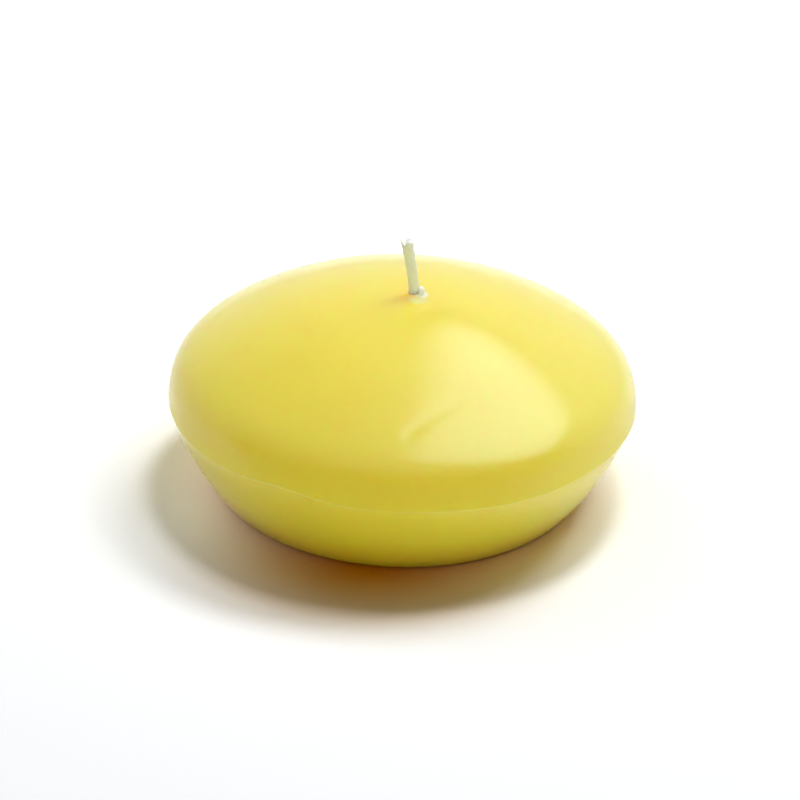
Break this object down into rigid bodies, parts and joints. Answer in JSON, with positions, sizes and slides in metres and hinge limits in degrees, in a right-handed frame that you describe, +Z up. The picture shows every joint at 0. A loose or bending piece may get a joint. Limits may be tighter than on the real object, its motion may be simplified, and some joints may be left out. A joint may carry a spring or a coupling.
{
  "type": "floating candle",
  "caption": "Domed round floating candle of yellow wax on a flat base, with a white cotton wick held by a steel tab let into the base.",
  "frame": {"origin": "middle of the candle's base, on the surface that it stands on", "axes": "+Z up through the dome; -Y towards the front view; the wick stands 1.9 mm off the middle towards +X and leans towards -X"},
  "size_m": [0.1016, 0.1016, 0.058],
  "materials": {
    "wax": "satin, softly glossy paraffin wax, dyed yellow",
    "wick": "braided cotton, primed with clear wax",
    "tab": "bright tin-plated sheet"
  },
  "bodies": {
    "root": {"wax_body": "wax", "wick": "wick", "wick_tab": "tab"}
  },
  "joints": []
}
